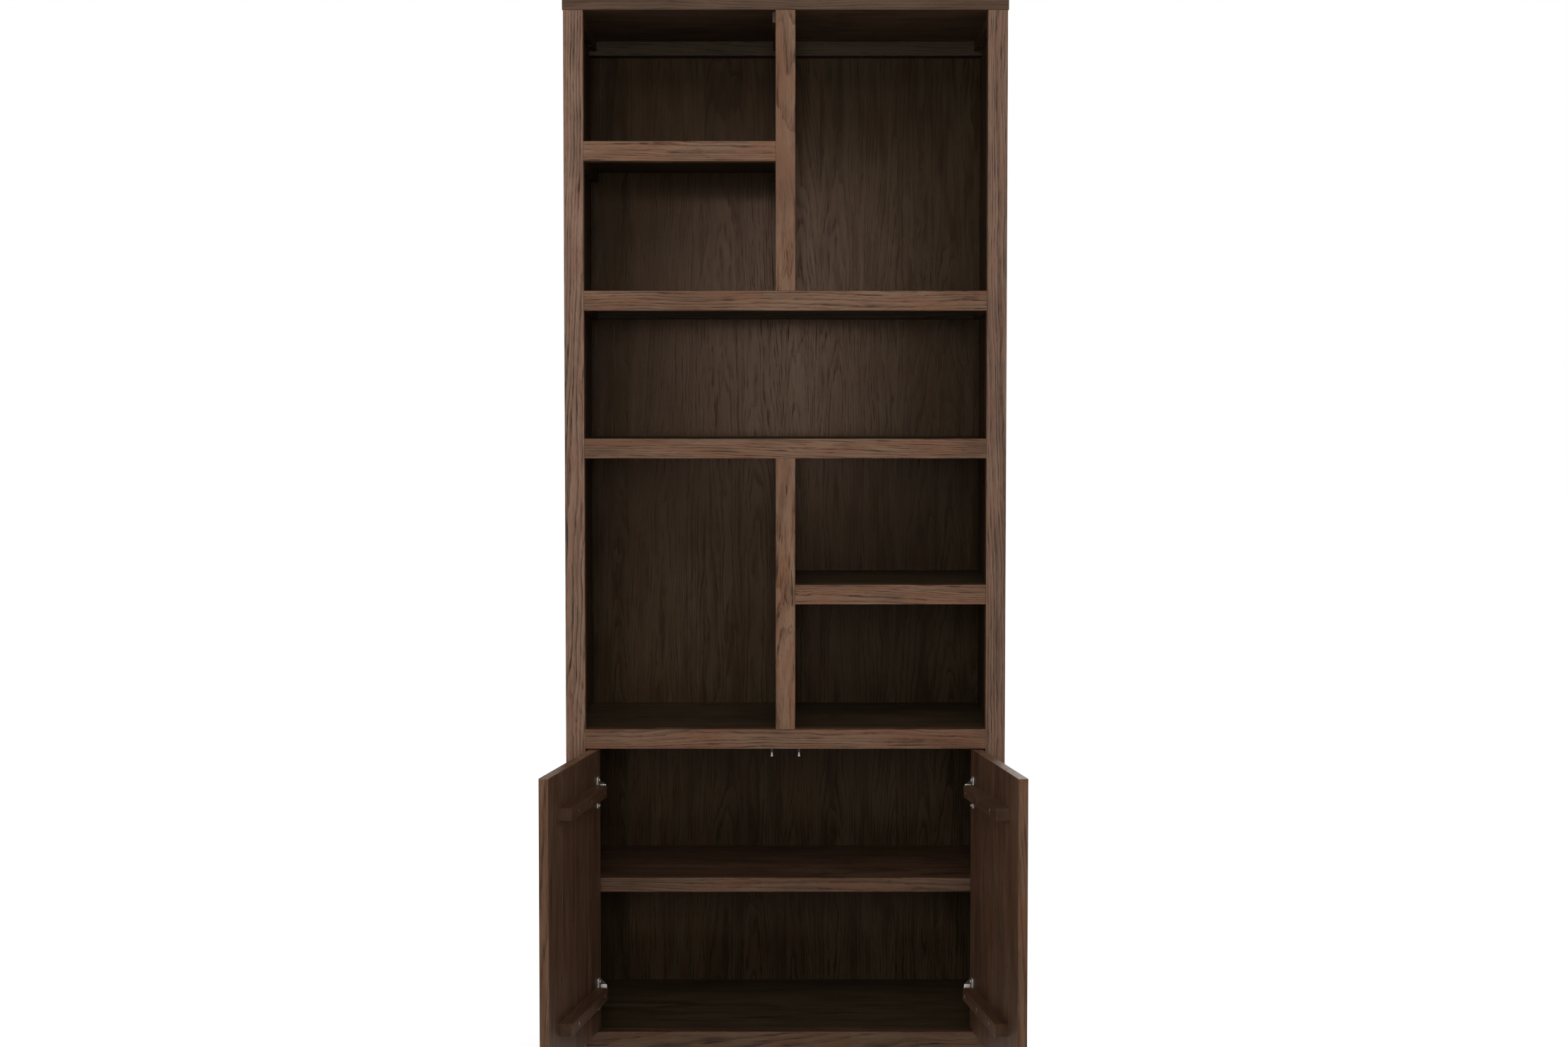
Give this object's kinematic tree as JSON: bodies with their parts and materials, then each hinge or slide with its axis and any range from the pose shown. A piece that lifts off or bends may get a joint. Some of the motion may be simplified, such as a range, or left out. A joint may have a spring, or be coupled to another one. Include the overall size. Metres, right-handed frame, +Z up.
{
  "type": "bookcase with cabinet doors",
  "caption": "Tall open bookcase in dark smoked oak with offset small shelves above a low cabinet closed by a pair of inset plank doors.",
  "frame": {"origin": "middle of the carcass's footprint on the floor, on the underside of the middle glide", "axes": "+X to the right seen from the front, +Y from the front to the back, +Z up"},
  "size_m": [0.9263, 0.8286, 2.2],
  "materials": {
    "oak_lipping": "dark smoked oak, matt oiled",
    "oak_panel": "dark smoked oak veneer, matt",
    "oak_back": "dark smoked oak veneer, vertical grain, matt",
    "oak_door": "dark smoked oak planks, matt oiled",
    "oak_frame": "dark smoked oak, matt",
    "beech": "plain beech",
    "nickel": "nickel plated steel",
    "bright_steel": "bright steel",
    "zinc_steel": "zinc plated steel",
    "black_plastic": "black nylon"
  },
  "bodies": {
    "carcass": {"top_board": "oak_lipping", "left_side_panel": "oak_panel", "left_side_lipping": "oak_lipping", "right_side_panel": "oak_panel", "right_side_lipping": "oak_lipping", "upper_divider": "oak_panel", "upper_divider_lipping": "oak_lipping", "lower_divider": "oak_panel", "lower_divider_lipping": "oak_lipping", "upper_left_shelf": "oak_panel", "upper_left_shelf_lipping": "oak_lipping", "second_shelf": "oak_panel", "second_shelf_lipping": "oak_lipping", "third_shelf": "oak_panel", "third_shelf_lipping": "oak_lipping", "lower_right_shelf": "oak_panel", "lower_right_shelf_lipping": "oak_lipping", "cabinet_top": "oak_panel", "cabinet_top_lipping": "oak_lipping", "bottom_board": "oak_panel", "bottom_board_lipping": "oak_lipping", "dowels": "beech", "top_cleats": "oak_frame", "shelf_cleats": "oak_frame", "cleat_screws": "zinc_steel", "top_back_rails": "oak_frame", "shelf_back_rails": "oak_frame", "back_panel": "oak_back", "back_panel_screws": "zinc_steel", "front_plinth": "oak_frame", "back_plinth": "oak_frame", "middle_plinth_rail": "oak_frame", "glides": "black_plastic", "inner_shelf": "oak_panel", "shelf_pins": "bright_steel", "hinge_arms": "nickel", "hinge_plates": "nickel", "hinge_screws": "zinc_steel", "hinge_blocks": "oak_frame", "door_stop_collars": "black_plastic", "door_stop_pins": "bright_steel"},
    "left_door": {"left_door_plank_1": "oak_door", "left_door_plank_2": "oak_door", "left_door_plank_3": "oak_door", "left_door_plank_4": "oak_door", "left_door_upper_batten": "oak_door", "left_door_lower_batten": "oak_door", "left_door_screws": "zinc_steel", "left_hinge_cups": "nickel", "left_hinge_pins": "bright_steel"},
    "right_door": {"right_door_plank_1": "oak_door", "right_door_plank_2": "oak_door", "right_door_plank_3": "oak_door", "right_door_plank_4": "oak_door", "right_door_upper_batten": "oak_door", "right_door_lower_batten": "oak_door", "right_door_screws": "zinc_steel", "right_hinge_cups": "nickel", "right_hinge_pins": "bright_steel"}
  },
  "joints": [
    {"name": "left_door_hinge", "type": "hinge", "parent": "carcass", "child": "left_door", "pos_m": [-0.393, -0.215, 0.37], "axis": [0, 0, 1], "range_deg": [-6, 99.5]},
    {"name": "right_door_hinge", "type": "hinge", "parent": "carcass", "child": "right_door", "pos_m": [0.393, -0.215, 0.37], "axis": [0, 0, 1], "range_deg": [-98.25, 7]}
  ]
}
